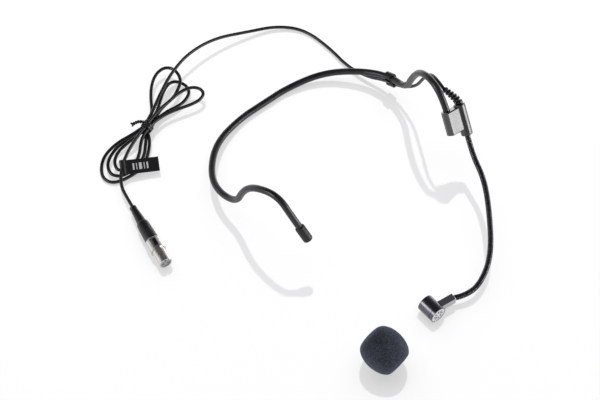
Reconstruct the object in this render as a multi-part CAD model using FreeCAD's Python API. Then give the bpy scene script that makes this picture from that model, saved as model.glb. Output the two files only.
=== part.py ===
"""Headset microphone: a sprung neckband with two ear hooks, a gooseneck boom with a
microphone capsule, a loose foam windscreen, and a tied cord with a miniature three-pole plug.

Millimetres. +Z is up, from the surface that the headset lies on. The wearer would face -Y,
and the boom is on the +X side. Writes one STEP file for each piece to parts/.
"""

import FreeCAD, Part
import math
import os

Vec = FreeCAD.Vector

# Where the wearer's middle plane and ear line lie in the part's frame.
head_x = 3.2
ear_y = 27.5

# Neckband and ear hooks: one spring wire in a soft tube, the same on both sides.
wire_radius = 0.9
wire_clearance = 0.05
tube_radius = 2.3
neck_reach = 82.0          # back of the neckband, behind the ear line
neck_half_width = 76.0     # widest half width, at the sides of the neck
band_lift = 2.5            # height of the tube's middle where the neckband rests
hook_half_width = 66.5     # half width over the ears
hook_top = 60.5            # height of the top of the ear hooks
hook_tip_height = 35.5     # height of the end of the wire at the holder
free_hook_drop = 4.5       # the free hook lies this much lower than the hook with the holder
hook_tip_reach = 40.0      # ends of the wire, in front of the ear line
socket_gap = 0.12          # between a ball end and the socket that turns round it
wire_stop = 4.0            # the wire stops this far from the middle of the neckband

# End cap on the free hook.
end_cap_radius = 3.3
end_cap_length = 11.5
end_cap_overlap = 9.5      # length of tube inside the cap
end_cap_hole = 0.7

# Cable clip on the side of the neckband.
clip_wall = 1.2
clip_clearance = 0.15
clip_sweep_deg = 9.0       # length of the clip, as an angle of the bend that it sits on
clip_mouth = 2.4
clip_cord_clearance = 0.5
clip_cord_wall = 0.9
clip_cord_setback = 1.6    # the cord's hook stands this far outside the tube's middle

# Holder on the other hook: a channel round the tube, joined to a barrel beside it.
holder_spacing = 10.2      # from the tube's axis to the barrel's axis
barrel_forward = 2.0       # the barrel's axis lies this far in front of the tube's
holder_dip_deg = 13.0      # how far the barrel lies below level with the tube
channel_wall = 1.7
channel_length = 16.0
channel_overhang = 1.0     # the channel reaches this far past the end of the tube
channel_chamfer = 0.7
channel_flat = 3.6         # the flat face starts this far inside the tube's axis
channel_step = 1.6         # the web between channel and barrel is this much thinner
barrel_drop = 4.6          # the barrel reaches this far below the channel
barrel_radius = 4.0
barrel_wall = 1.2
barrel_length = 22.0
barrel_round = 1.0
barrel_cap_thickness = 2.2
splice_radius = 1.7
splice_length = 12.0

# Strain relief where the cord enters the barrel.
relief_base_radius = 3.0
relief_tip_radius = 1.9
relief_core_radius = 1.5
relief_rib_count = 6
relief_rib_thickness = 1.5
relief_stem_radius = 1.6
relief_straight = 3.0      # it bends over after this length

# Gooseneck boom.
boom_radius = 1.9
boom_plug_depth = 4.0      # length of the boom inside the barrel's bottom cap
boom_straight = 6.0        # how far it runs straight on from the barrel

# Capsule.
capsule_radius = 5.8
capsule_length = 13.0
capsule_wall = 0.45
capsule_x = -26.8 + head_x
capsule_front_y = -125.5 + ear_y
capsule_rear_thickness = 1.2
grille_thickness = 0.8
grille_recess = 0.1
grille_slots = 8
slot_width = 0.9
slot_inner = 1.7
slot_outer = 3.9
mesh_thickness = 0.4
gasket_thickness = 0.8
gasket_width = 0.9
element_clearance = 0.5    # between the element and the shell's inside
element_thickness = 4.2
board_thickness = 0.8
board_setback = 0.3        # the board is this much smaller than the element, all round
collar_width = 5.2
collar_height = 5.4
collar_length = 11.0
collar_setback = 5.2       # from the front of the capsule to the collar's middle
collar_round = 0.7
lead_radius = 0.35

# Foam windscreen, lying loose on its side with its mouth towards the floor.
foam_radius = 13.9
foam_height = 26.5
foam_base_radius = 8.6
foam_crown_radius = 7.5
foam_pocket_radius = 5.3
foam_pocket_depth = 14.0
foam_waist = 12.5          # from the mouth to where it is widest
foam_place = (-73.5, -127.0)  # the middle of its widest ring lies above this
foam_lean = (0.19, -0.89, -0.40)  # the way that its mouth points

# Cord and what lies on it.
cord_radius = 1.15
hank_half_thickness = 5.2
hank_waist = 7.0           # width where the tie holds it
hank_corner = 5.0
tie_place = (-75.5, 116.0, hank_half_thickness)
hank_far_fan = [(-45.0, 152.5), (-31.0, 151.5), (-29.0, 122.0), (-32.0, 107.0)]
hank_near_fan = [(-98.0, 95.0), (-118.0, 90.5), (-124.5, 102.0), (-113.0, 116.0)]
tie_radius = 1.2
flag_width = 10.0
flag_half_thickness = 0.5
flag_root = (-111.5, 98.4, 6.8)   # where the folded label goes round the cord
flag_end = (-88.5, 85.8, 4.5)
flag_lean = (0.47, 0.79, 0.39)    # the way that its width runs, beside the cord

# Plug on the cord.
plug_length = 51.0         # boot end to front face
plug_radius = 5.2
plug_turn_deg = 11.7       # the plug points this far from -Y towards -X
plug_place = (-123.5, 67.9)   # the end of its boot
boot_length = 15.0
boot_tip_radius = 2.3
boot_end_radius = 3.5
handle_length = 16.0
handle_end_radius = 4.7
barrel_front_radius = 4.35
barrel_front_length = 11.0
insert_recess = 0.6
insert_length = 12.0
insert_radius = 3.6
contact_radius = 0.75
contact_bore = 0.45
contact_circle = 1.9
contact_length = 11.0
key_width = 1.3
latch_length = 5.0
latch_width = 2.6
latch_height = 1.5
latch_lift = 0.8
latch_clearance = 0.15
chuck_radius = 2.9
chuck_length = 9.0

# The hook's and the cord's routes: corners of straight runs, which arcs round off.
arc_share = 0.45
half_run_share = 0.9


def place(x, y, z):
    """A point given from the wearer's middle plane and ear line."""
    return Vec(x + head_x, y + ear_y, z)


def unit(v):
    """The vector v at length 1."""
    return Vec(v).normalize()


def band_points(side):
    """Corners of one half of the spring wire, from the middle of the back to its end."""
    drop = 0.0 if side > 0 else free_hook_drop
    rows = [
        (0.0, neck_reach, band_lift),
        (22.0, neck_reach, band_lift),
        (neck_half_width - 27.5, neck_reach - 8.0, band_lift + 3.0),
        (neck_half_width - 7.5, neck_reach - 27.5, band_lift + 6.5),
        (neck_half_width, 36.0, band_lift + 11.0),
        (neck_half_width - 1.5, 18.0, band_lift + 16.5),
        (hook_half_width + 6.5, 11.5, hook_top - 22.5),
        (hook_half_width + 4.5, 1.5, hook_top - 6.0 - drop),
        (hook_half_width + 0.5, -16.5, hook_top - drop),
        (hook_half_width - 1.0, 10.5 - hook_tip_reach, hook_tip_height + 13.0 - drop),
        (hook_half_width - 3.8, -hook_tip_reach, hook_tip_height - drop),
    ]
    return [place(side * x, y, z) for x, y, z in rows]


def cord_points():
    """Corners of the cord from the strain relief to the hank, through the clip's hook."""
    held, along = clip_cord_hold()
    return [
        relief_tip(),
        place(73.2, -11.0, 56.0),
        place(77.5, -1.0, 49.0),
        place(78.8, 6.5, 37.0),
        place(78.8, 13.0, 22.0),
        held + along * 9.0,
        held - along * 7.0,
        place(70.0, 51.5, 3.8),
        place(66.0, 69.0, 1.9),
        place(68.0, 92.0, 1.3),
        place(65.5, 117.0, 1.3),
        place(52.0, 132.0, 2.0),
        place(32.0, 140.0, 3.6),
        place(8.0, 147.5, 8.0),
        place(-16.0, 147.0, 10.0),
        place(-36.0, 141.0, 8.5),
        place(-53.0, 131.5, 7.4),
        place(-66.0, 122.5, 6.6),
    ]


def tail_points():
    """Corners of the cord from the hank to the plug."""
    return [
        place(-106.0, 102.0, 6.0),
        place(-114.5, 93.5, 4.0),
        plug_at(-12.0),
        plug_at(0),
    ]


def boom_points():
    """Corners of the boom from the barrel to the collar. It leaves the barrel straight."""
    start = holder_frame()["barrel_bottom"]
    return [
        start,
        start + holder_frame()["down"] * boom_straight,
        place(66.6, -57.5, 21.8),
        place(61.0, -73.0, 19.3),
        place(48.5, -91.5, 16.2),
        place(27.0, -116.8, 11.6),
        place(8.4, -126.4, 7.6),
        place(-4.0, -126.0, 6.4),
        place(-10.6, -122.3, capsule_radius),
    ]


def route(points, share=arc_share, label=None):
    """A wire of straight runs joined by tangent arcs. Each arc takes that share of the
    shorter run beside it."""
    edges = []
    radii = []
    last = points[0]
    for before, corner, after in zip(points, points[1:], points[2:]):
        back = unit(before - corner)
        ahead = unit(after - corner)
        half_turn = (math.pi - back.getAngle(ahead)) / 2
        first_share = share if before is not points[0] else min(2 * share, half_run_share)
        last_share = share if after is not points[-1] else min(2 * share, half_run_share)
        reach = min(first_share * before.distanceToPoint(corner),
                    last_share * after.distanceToPoint(corner))
        radius = reach / math.tan(half_turn)
        start = corner + back * reach
        end = corner + ahead * reach
        centre_way = unit(back + ahead)
        middle = corner + centre_way * (radius / math.cos(half_turn) - radius)
        edges.append(Part.LineSegment(last, start).toShape())
        edges.append(Part.Arc(start, middle, end).toShape())
        radii.append(round(radius, 1))
        last = end
    edges.append(Part.LineSegment(last, points[-1]).toShape())
    if label:
        print(label, "radii", radii)
    return Part.Wire(edges)


def pipe(wire, radius, label=None):
    """A round solid along a wire."""
    edge = wire.Edges[0]
    start = edge.valueAt(edge.FirstParameter)
    way = edge.tangentAt(edge.FirstParameter)
    ring = Part.Wire(Part.Circle(start, way, radius).toShape())
    solid = wire.makePipeShell([ring], True, False)
    if label:
        share = solid.Volume / (math.pi * radius ** 2 * wire.Length)
        print(label, "length", round(wire.Length, 1), "volume over section x length", round(share, 4))
    return solid


def rod(start, end, radius):
    """A cylinder between two points."""
    way = end - start
    return Part.makeCylinder(radius, way.Length, start, way)


def cone(start, end, start_radius, end_radius):
    """A cone between two points."""
    way = end - start
    return Part.makeCone(start_radius, end_radius, way.Length, start, way)


def middle(a, b):
    """The point half way between two points."""
    return (a + b) * 0.5


def frame_matrix(origin, x_way, y_way, z_way):
    """The placement whose own axes point along three given directions."""
    turn = FreeCAD.Matrix(
        x_way.x, y_way.x, z_way.x, origin.x,
        x_way.y, y_way.y, z_way.y, origin.y,
        x_way.z, y_way.z, z_way.z, origin.z,
        0, 0, 0, 1,
    )
    return turn


def holder_frame():
    """Directions and places of the holder, from the end of the wire on the boom's side:
    outwards from the tube to the barrel, up along the tube, and back from the flat face."""
    points = band_points(1)
    down = unit(points[-1] - points[-2])
    up = down * -1
    level = unit(Vec(1, 0, 0) - up * up.x)
    tilt = math.radians(holder_dip_deg)
    out = level * math.cos(tilt) + unit(up.cross(level)) * math.sin(tilt)
    tube_end = points[-1]
    back = unit(up.cross(out))
    barrel_bottom = (tube_end + out * holder_spacing - back * barrel_forward
                     + down * (channel_overhang + barrel_drop))
    return {
        "down": down,
        "up": up,
        "out": out,
        "back": back,
        "tube_end": tube_end,
        "barrel_bottom": barrel_bottom,
        "barrel_top": barrel_bottom + up * barrel_length,
    }


def relief_tip():
    """The end of the strain relief, where the cord comes out."""
    return place(71.3, -20.2, 55.6)


def relief_route():
    """The line down the middle of the strain relief."""
    h = holder_frame()
    return route([h["barrel_top"], h["barrel_top"] + h["up"] * relief_straight, relief_tip()], half_run_share)


def plug_direction():
    """The way that the plug points."""
    turn = math.radians(plug_turn_deg)
    return Vec(-math.sin(turn), -math.cos(turn), 0)


def plug_at(distance):
    """The point on the plug's axis that far from the end of its boot."""
    return place(*plug_place, plug_radius) + plug_direction() * distance


def make_band_half(side):
    """The wire and the soft tube of one side. At the middle of the neckband the boom's side
    ends in a ball, and the other side in a socket round it."""
    points = band_points(side)
    line = route(points, label="neckband" if side > 0 else None)
    tube = pipe(line, tube_radius, "neckband tube" if side > 0 else None)
    bore_points = [points[0] + unit(points[1] - points[0]) * wire_stop] + points[1:]
    bore_line = route(bore_points)
    bore = pipe(bore_line, wire_radius + wire_clearance)
    wire = pipe(bore_line, wire_radius)
    tube = tube.cut(bore)
    if side > 0:
        tube = tube.fuse(Part.makeSphere(tube_radius, points[0]))
    else:
        tube = tube.cut(Part.makeSphere(tube_radius + socket_gap, points[0]))
    return wire, tube.removeSplitter()


def make_end_cap():
    """A closed cap over the free end of the tube, with a small moulding hole in its end."""
    points = band_points(-1)
    end = points[-1]
    way = unit(points[-1] - points[-2])
    start = end - way * end_cap_overlap
    body = rod(start, start + way * end_cap_length, end_cap_radius)
    body = body.makeFillet(1.2, [body.Edges[0], body.Edges[2]])
    body = body.cut(rod(start - way, end, tube_radius))
    return body.cut(rod(end + way * 1.5, start + way * (end_cap_length + 1), end_cap_hole))


def clip_bend():
    """The bend that the cable clip sits on: its centre, its axis, and the clip's place."""
    line = route(band_points(1))
    arcs = [e for e in line.Edges if isinstance(e.Curve, Part.Circle)]
    bend = arcs[3]
    on = bend.valueAt((bend.FirstParameter + bend.LastParameter) / 2)
    axis = unit(bend.Curve.Axis)
    if axis.z > 0:
        axis = axis * -1
    return bend.Curve.Center, axis, on


def clip_cord_hold():
    """The middle of the clip's cord hook, and the way that the cord runs through it."""
    centre, axis, on = clip_bend()
    outwards = unit(on - centre)
    reach = tube_radius + clip_clearance + clip_wall + cord_radius + clip_cord_clearance
    held = on + axis * reach + outwards * clip_cord_setback
    along = unit(axis.cross(outwards))
    if along.y > 0:
        along = along * -1
    return held, along


def make_cable_clip():
    """A snap clip that slides along the neckband, with a hook for the cord below it."""
    centre, axis, on = clip_bend()
    outwards = unit(on - centre)
    along = unit(axis.cross(outwards))
    inner = tube_radius + clip_clearance
    outer = inner + clip_wall
    held = clip_cord_hold()[0]
    cord_inner = cord_radius + clip_cord_clearance

    def swept(middle_point, radius):
        ring = Part.Face(Part.Wire(Part.Circle(middle_point, along, radius).toShape()))
        ring = ring.rotated(centre, axis, -clip_sweep_deg / 2)
        return ring.revolve(centre, axis, clip_sweep_deg)

    body = swept(on, outer).fuse(swept(held, cord_inner + clip_cord_wall))
    body = body.cut(swept(on, inner))
    body = body.cut(swept(held, cord_inner))
    mouth = Part.makeBox(outer * 2, clip_mouth, 40.0, Vec(0, -clip_mouth / 2, -20.0))
    inwards = outwards * -1
    mouth.transformShape(frame_matrix(on, inwards, along.cross(inwards), along))
    return body.cut(mouth)


def make_holder():
    """The holder: the channel with its flat face, the barrel, and what is inside it."""
    h = holder_frame()
    origin = h["tube_end"] + h["down"] * channel_overhang
    turn = frame_matrix(origin, h["out"], h["back"], h["up"])
    outer = tube_radius + channel_wall
    ring = Part.makeCylinder(outer, channel_length)
    block = Part.makeBox(channel_flat + holder_spacing, outer * 2 - channel_step,
                         channel_length, Vec(-channel_flat, -outer, 0))
    channel = ring.fuse(block).removeSplitter()
    front = [e for e in channel.Edges if e.CenterOfMass.y < 0.3 - outer
             and abs(e.CenterOfMass.z - channel_length / 2) > channel_length / 2 - 0.1]
    channel = channel.makeChamfer(channel_chamfer, front)
    foot = Vec(holder_spacing, -barrel_forward, -barrel_drop)
    barrel_space = Part.makeCylinder(barrel_radius, barrel_length, foot)
    channel = channel.cut(barrel_space)
    barrel = Part.makeCylinder(barrel_radius, barrel_length, foot)
    barrel = barrel.makeFillet(barrel_round, [barrel.Edges[0], barrel.Edges[2]])
    barrel = barrel.cut(Part.makeCylinder(barrel_radius - barrel_wall, barrel_length + 2,
                                          foot - Vec(0, 0, 1)))
    inner = barrel_radius - barrel_wall
    lower = Part.makeCylinder(inner, boom_plug_depth, foot)
    lower = lower.cut(Part.makeCylinder(boom_radius, boom_plug_depth + 2, foot - Vec(0, 0, 1)))
    top = foot + Vec(0, 0, barrel_length - barrel_cap_thickness)
    upper = Part.makeCylinder(inner, barrel_cap_thickness, top)
    upper = upper.cut(Part.makeCylinder(relief_stem_radius, barrel_cap_thickness + 2,
                                        top - Vec(0, 0, 1)))
    splice_foot = foot + Vec(0, 0, boom_plug_depth)
    splice = Part.makeCylinder(splice_radius, splice_length, splice_foot)
    splice = splice.makeFillet(0.5, [splice.Edges[0], splice.Edges[2]])
    made = {
        "holder_clip": channel,
        "holder_barrel": barrel,
        "boom_gland": lower,
        "relief_bush": upper,
        "lead_splice": splice,
    }
    for solid in made.values():
        solid.transformShape(turn)
    tube_space = pipe(route(band_points(1)), tube_radius)
    made["holder_clip"] = channel.cut(tube_space)
    return made


def make_strain_relief():
    """A flexible sleeve of ribs that get thinner towards the cord."""
    h = holder_frame()
    line = relief_route()
    body = pipe(line, relief_core_radius)
    stem_end = h["barrel_top"] - h["up"] * barrel_cap_thickness
    body = body.fuse(rod(stem_end, h["barrel_top"], relief_stem_radius))
    stops = line.discretize(Number=8 * relief_rib_count + 1)
    for i in range(relief_rib_count):
        at = stops[8 * i + 4]
        way = unit(stops[8 * i + 5] - stops[8 * i + 3])
        share = i / (relief_rib_count - 1)
        radius = relief_base_radius + share * (relief_tip_radius - relief_base_radius)
        rib = rod(at - way * relief_rib_thickness / 2, at + way * relief_rib_thickness / 2, radius)
        body = body.fuse(rib)
    return body


def boom_joints():
    """The points where the boom's sections turn on each other."""
    points = boom_points()
    return [middle(a, b) for a, b in zip(points[2:-2], points[3:-1])]


def make_boom():
    """The boom's sections, from the barrel to the collar. Each ends in a ball, and the next
    one starts with a socket round that ball."""
    h = holder_frame()
    points = boom_points()
    turns = boom_joints()
    sections = []
    start = points[0] + h["up"] * boom_plug_depth
    stops = [start] + turns + [points[-1]]
    bends = [points[1:3]] + [[corner] for corner in points[3:-1]]
    for i, corners in enumerate(bends):
        share = half_run_share if i > 0 else arc_share
        line = route([stops[i]] + corners + [stops[i + 1]], share, "boom")
        solid = pipe(line, boom_radius)
        if i > 0:
            solid = solid.cut(Part.makeSphere(boom_radius + socket_gap, stops[i]))
        if i < len(bends) - 1:
            solid = solid.fuse(Part.makeSphere(boom_radius, stops[i + 1]))
        sections.append(solid.removeSplitter())
    return sections


def capsule_at(distance):
    """The point on the capsule's axis that far behind its front edge."""
    return Vec(capsule_x, capsule_front_y + distance, capsule_radius)


def make_capsule():
    """The capsule's shell, grille and what is inside, front to back."""
    back = Vec(0, 1, 0)
    front = capsule_at(0)
    inner = capsule_radius - capsule_wall
    shell = Part.makeCylinder(capsule_radius, capsule_length, front, back)
    shell = shell.makeFillet(0.5, [shell.Edges[0]])
    shell = shell.cut(Part.makeCylinder(inner, capsule_length + 2, capsule_at(-1), back))
    groove = Part.makeCylinder(capsule_radius + 1, 0.5, capsule_at(2.2), back)
    groove = groove.cut(Part.makeCylinder(capsule_radius - 0.25, 0.5, capsule_at(2.2), back))
    shell = shell.cut(groove)
    collar_middle = capsule_at(collar_setback)
    lead_hole = rod(collar_middle, collar_middle + Vec(capsule_radius + 2, 0, 0), 1.6)
    shell = shell.cut(lead_hole)

    grille = Part.makeCylinder(inner, grille_thickness, capsule_at(grille_recess), back)
    for i in range(grille_slots):
        slot = Part.makeBox(slot_outer - slot_inner, grille_thickness + 2, slot_width,
                            Vec(slot_inner, -1, -slot_width / 2))
        slot.rotate(Vec(0, 0, 0), back, 360.0 * i / grille_slots)
        slot.translate(capsule_at(grille_recess))
        grille = grille.cut(slot)

    mesh_front = grille_recess + grille_thickness
    mesh = Part.makeCylinder(inner, mesh_thickness, capsule_at(mesh_front), back)
    gasket_front = mesh_front + mesh_thickness
    gasket = Part.makeCylinder(inner, gasket_thickness, capsule_at(gasket_front), back)
    gasket = gasket.cut(Part.makeCylinder(inner - gasket_width, gasket_thickness + 2,
                                          capsule_at(gasket_front - 1), back))
    element_radius = inner - element_clearance
    element_front = gasket_front + gasket_thickness
    element = Part.makeCylinder(element_radius, element_thickness, capsule_at(element_front), back)
    element = element.makeFillet(0.3, [element.Edges[0], element.Edges[2]])
    board_front = element_front + element_thickness
    board = Part.makeCylinder(element_radius - board_setback, board_thickness,
                              capsule_at(board_front), back)
    rear = Part.makeCylinder(inner, capsule_rear_thickness,
                             capsule_at(capsule_length - capsule_rear_thickness), back)
    lead_y = board_front + board_thickness + 1.2
    leads = []
    for side in (-1, 1):
        board_end = capsule_at(board_front + board_thickness) + Vec(1.5, 0, 1.0 * side)
        turn = capsule_at(lead_y) + Vec(2.2, 0, 1.0 * side)
        leads.append(pipe(route([board_end, capsule_at(lead_y) + Vec(1.5, 0, 1.0 * side),
                                 turn + Vec(1.2, 0, 0)], half_run_share), lead_radius))
    return {
        "capsule_housing": shell,
        "capsule_grille": grille,
        "acoustic_mesh": mesh,
        "front_gasket": gasket,
        "microphone_element": element,
        "element_board": board,
        "capsule_rear_cap": rear,
        "capsule_leads": Part.Compound(leads),
    }


def make_collar():
    """The flat-sided sleeve between the boom and the capsule."""
    root = capsule_at(collar_setback)
    end = boom_points()[-1]
    way = unit(end - root)
    side = unit(Vec(0, 0, 1).cross(way))
    up = unit(way.cross(side))
    start = end - way * collar_length
    box = Part.makeBox(collar_length, collar_width, collar_height,
                       Vec(0, -collar_width / 2, -collar_height / 2))
    rounded = [e for e in box.Edges if e.CenterOfMass.x > collar_length / 4]
    box = box.makeFillet(collar_round, rounded)
    box.transformShape(frame_matrix(start, way, side, up))
    capsule_space = Part.makeCylinder(capsule_radius, capsule_length * 3,
                                      capsule_at(-capsule_length), Vec(0, 1, 0))
    return box.cut(capsule_space).cut(make_boom()[-1])


def foam_frame(height):
    """Where the windscreen lies, with the middle of its widest ring at that height."""
    up = unit(Vec(*foam_lean)) * -1
    side = unit(Vec(0, 0, 1).cross(up))
    return frame_matrix(place(*foam_place, height), side, up.cross(side), up)


def make_windscreen():
    """A foam barrel with a rounded shoulder and a pocket that fits over the capsule. It is
    turned about its own axis, mouth down, and laid on its side on the surface."""
    low = Vec(foam_radius * 0.93, 0, foam_waist * -0.58)
    shoulder = Vec(foam_radius * 0.88, 0, (foam_height - foam_waist) * 0.68)
    mouth_z = -foam_waist
    crown_z = foam_height - foam_waist
    pocket_z = foam_pocket_depth - foam_waist
    base = Vec(foam_base_radius, 0, mouth_z)
    side = Vec(foam_radius, 0, 0)
    crown = Vec(foam_crown_radius, 0, crown_z)
    inside = Vec(foam_pocket_radius, 0, pocket_z)
    mouth = Vec(foam_pocket_radius, 0, mouth_z)
    profile = Part.Wire([
        Part.LineSegment(mouth, base).toShape(),
        Part.Arc(base, low, side).toShape(),
        Part.Arc(side, shoulder, crown).toShape(),
        Part.LineSegment(crown, Vec(0, 0, crown_z)).toShape(),
        Part.LineSegment(Vec(0, 0, crown_z), Vec(0, 0, pocket_z)).toShape(),
        Part.LineSegment(Vec(0, 0, pocket_z), inside).toShape(),
        Part.LineSegment(inside, mouth).toShape(),
    ])
    body = Part.Face(profile).revolve(Vec(0, 0, 0), Vec(0, 0, 1), 360)
    body.transformShape(foam_frame(0))
    body.translate(Vec(0, 0, -body.optimalBoundingBox(False).ZMin))
    return body


def make_hank():
    """The outer shape of the tied cord: two flat fans that meet at the tie."""
    tie = place(*tie_place)
    lobes = []
    for fan in (hank_far_fan, hank_near_fan):
        ends = [place(x, y, 0) for x, y in fan]
        root = Vec(tie.x, tie.y, 0)
        outward = unit(ends[1] - root)
        across = Vec(-outward.y, outward.x, 0) * hank_waist / 2
        if (ends[0] - root).dot(across) < 0:
            across = across * -1
        corners = [root + across] + ends + [root - across]
        outline = Part.makePolygon(corners + [corners[0]])
        lobe = Part.Face(outline).extrude(Vec(0, 0, 2 * hank_half_thickness))
        upright = [e for e in lobe.Edges if abs(e.tangentAt(e.FirstParameter).z) > 0.9]
        outer = [e for e in upright if e.CenterOfMass.distanceToPoint(tie) > 2 * hank_waist]
        lobes.append(lobe.makeFillet(hank_corner, outer))
    return lobes[0].fuse(lobes[1]).removeSplitter()


def make_tie():
    """The twisted tie round the hank, with its two tails twisted together."""
    centre = place(*tie_place)
    way = unit(place(*hank_far_fan[1], 0) - place(*hank_near_fan[1], 0))
    across = Vec(-way.y, way.x, 0)
    half_wide = 5.6
    half_high = hank_half_thickness + 0.9
    ring = []
    for i in range(8):
        turn = math.pi * (2 * i + 1) / 8
        z = max(tie_radius, centre.z + half_high * math.sin(turn))
        ring.append(centre + across * (half_wide * math.cos(turn)) + Vec(0, 0, z - centre.z))
    body = None
    for a, b in zip(ring, ring[1:] + ring[:1]):
        piece = rod(a, b, tie_radius).fuse(Part.makeSphere(tie_radius, a))
        body = piece if body is None else body.fuse(piece)
    root = centre + across * 4.0 + Vec(0, 0, half_high - 0.6)
    tail = pipe(route([root, root + across * 5 - way * 1.5, root + across * 11 - way * 5]), tie_radius)
    return body.fuse(tail)


def make_flag():
    """The folded label round the cord near the plug. It lies across the hank's loops."""
    root = place(*flag_root)
    reach = place(*flag_end) - root
    way = unit(reach)
    lean = Vec(*flag_lean)
    across = unit(lean - way * lean.dot(way))
    box = Part.makeBox(reach.Length, flag_width, 2 * flag_half_thickness,
                       Vec(0, -flag_width / 2, -flag_half_thickness))
    box.transformShape(frame_matrix(root, way, across, way.cross(across)))
    return box


def make_plug():
    """The plug on the cord, from its boot to its front face, and what is inside."""
    way = plug_direction()
    boot_end = boot_length
    handle_end = boot_end + handle_length
    front_start = plug_length - barrel_front_length
    bore = cord_radius + 0.05

    boot = cone(plug_at(0), plug_at(boot_end), boot_tip_radius, boot_end_radius)
    handle = cone(plug_at(boot_end), plug_at(handle_end), plug_radius - 1.1, handle_end_radius)
    handle_space = rod(plug_at(boot_end + 2), plug_at(handle_end + 1), chuck_radius)
    handle = handle.cut(handle_space)
    handle = handle.cut(rod(plug_at(boot_end - 1), plug_at(boot_end + 3), 1.4))

    chuck = rod(plug_at(boot_end + 3), plug_at(boot_end + 3 + chuck_length), chuck_radius)
    chuck = chuck.cut(rod(plug_at(boot_end + 2), plug_at(boot_end + 4 + chuck_length), bore))

    shell = rod(plug_at(handle_end), plug_at(front_start), plug_radius)
    shell = shell.makeFillet(0.4, [shell.Edges[2]])
    shell = shell.fuse(rod(plug_at(front_start - 1), plug_at(plug_length), barrel_front_radius))
    shell = shell.cut(rod(plug_at(handle_end - 1), plug_at(plug_length + 1), insert_radius))
    key = Part.makeBox(12.0, key_width, 1.4, Vec(0, -key_width / 2, barrel_front_radius - 1.2))
    side = Vec(-way.y, way.x, 0)
    key.transformShape(frame_matrix(plug_at(plug_length - 7.0), way, side, Vec(0, 0, 1)))
    shell = shell.cut(key)

    latch_centre = plug_at(handle_end + 4.6)
    seat = Part.makeBox(latch_length + 2 * latch_clearance, latch_width + 2 * latch_clearance, 4.0,
                        Vec(-latch_length / 2 - latch_clearance,
                            -latch_width / 2 - latch_clearance, insert_radius - 0.2))
    seat.transformShape(frame_matrix(latch_centre, way, side, Vec(0, 0, 1)))
    shell = shell.cut(seat)
    latch = Part.makeBox(latch_length, latch_width, latch_height,
                         Vec(-latch_length / 2, -latch_width / 2,
                             plug_radius + latch_lift - latch_height))
    top = [e for e in latch.Edges if abs(e.CenterOfMass.z - plug_radius - latch_lift) < 0.01]
    latch = latch.makeFillet(0.35, top)
    latch.transformShape(frame_matrix(latch_centre, way, side, Vec(0, 0, 1)))

    insert_start = plug_length - insert_recess - insert_length
    insert = rod(plug_at(insert_start), plug_at(plug_length - insert_recess), insert_radius)
    contacts = []
    for i in range(3):
        turn = math.radians(90 + 120 * i)
        offset = side * (contact_circle * math.cos(turn))
        offset = offset + Vec(0, 0, contact_circle * math.sin(turn))
        start = plug_at(insert_start - 2.0) + offset
        end = plug_at(insert_start - 2.0 + contact_length) + offset
        mouth = plug_at(plug_length) + offset
        insert = insert.cut(rod(start, end, contact_radius))
        insert = insert.cut(rod(end - way, mouth, contact_bore + 0.15))
        contact = rod(start, end, contact_radius)
        contacts.append(contact.cut(rod(end - way * 6, end + way, contact_bore)))

    return {
        "plug_boot": boot,
        "plug_handle": handle,
        "plug_chuck": chuck,
        "plug_shell": shell,
        "plug_insert": insert,
        "plug_contacts": Part.Compound(contacts),
        "plug_latch": latch,
    }


def make_all():
    """Every piece, by node name."""
    made = {}
    made["spring_wire_right"], made["tube_right"] = make_band_half(1)
    made["spring_wire_left"], made["tube_left"] = make_band_half(-1)
    made["end_cap"] = make_end_cap()
    made["cable_clip"] = make_cable_clip()
    made.update(make_holder())
    made["strain_relief"] = make_strain_relief()
    for i, solid in enumerate(make_boom()):
        made["gooseneck_%d" % i] = solid
    made["boom_collar"] = make_collar()
    made.update(make_capsule())
    made["windscreen"] = make_windscreen()
    made["cord"] = pipe(route(cord_points(), label="cord"), cord_radius, "cord")
    made["cord_tail"] = pipe(route(tail_points(), label="tail"), cord_radius, "tail")
    made["cord_hank"] = make_hank()
    made["twist_tie"] = make_tie()
    made["label_flag"] = make_flag()
    made.update(make_plug())
    return made


def main():
    os.makedirs("parts", exist_ok=True)
    for name, shape in make_all().items():
        if not shape.isValid() or not shape.Solids:
            print("bad solid:", name)
        shape.exportStep("parts/%s.step" % name)


main()
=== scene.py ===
"""Looks of a headset microphone: a soft tube neckband, a wound gooseneck boom, a foam
windscreen, a tied cord with its label, and a three-pole plug."""

import math

import bpy
import numpy as np
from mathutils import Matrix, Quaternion, Vector


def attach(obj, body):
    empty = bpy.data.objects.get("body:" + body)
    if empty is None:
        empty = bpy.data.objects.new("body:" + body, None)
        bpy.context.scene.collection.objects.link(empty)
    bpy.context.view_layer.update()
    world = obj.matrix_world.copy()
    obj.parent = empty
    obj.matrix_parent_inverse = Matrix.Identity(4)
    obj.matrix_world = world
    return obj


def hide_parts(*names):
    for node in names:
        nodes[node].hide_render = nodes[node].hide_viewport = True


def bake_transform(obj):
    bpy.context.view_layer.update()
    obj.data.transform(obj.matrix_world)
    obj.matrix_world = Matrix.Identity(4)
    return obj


bl_info = {
    "name": "Headset Microphone",
    "version": (1, 0, 0),
    "blender": (4, 5, 0),
    "location": "3D View > Sidebar > Headset",
    "description": "Finishes and soft pieces of a neckband headset microphone",
    "category": "Object",
}

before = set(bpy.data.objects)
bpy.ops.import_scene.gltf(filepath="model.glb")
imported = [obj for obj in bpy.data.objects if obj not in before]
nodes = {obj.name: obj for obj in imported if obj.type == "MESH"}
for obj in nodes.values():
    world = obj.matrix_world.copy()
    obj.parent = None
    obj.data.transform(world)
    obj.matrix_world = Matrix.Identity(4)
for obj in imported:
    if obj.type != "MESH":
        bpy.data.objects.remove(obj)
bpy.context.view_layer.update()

MM = 0.001
EAR_MIDDLE = np.array([3.2, 27.5, 0.0])   # the wearer's middle plane and ear line


# ---------------------------------------------------------------- shapes

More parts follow.
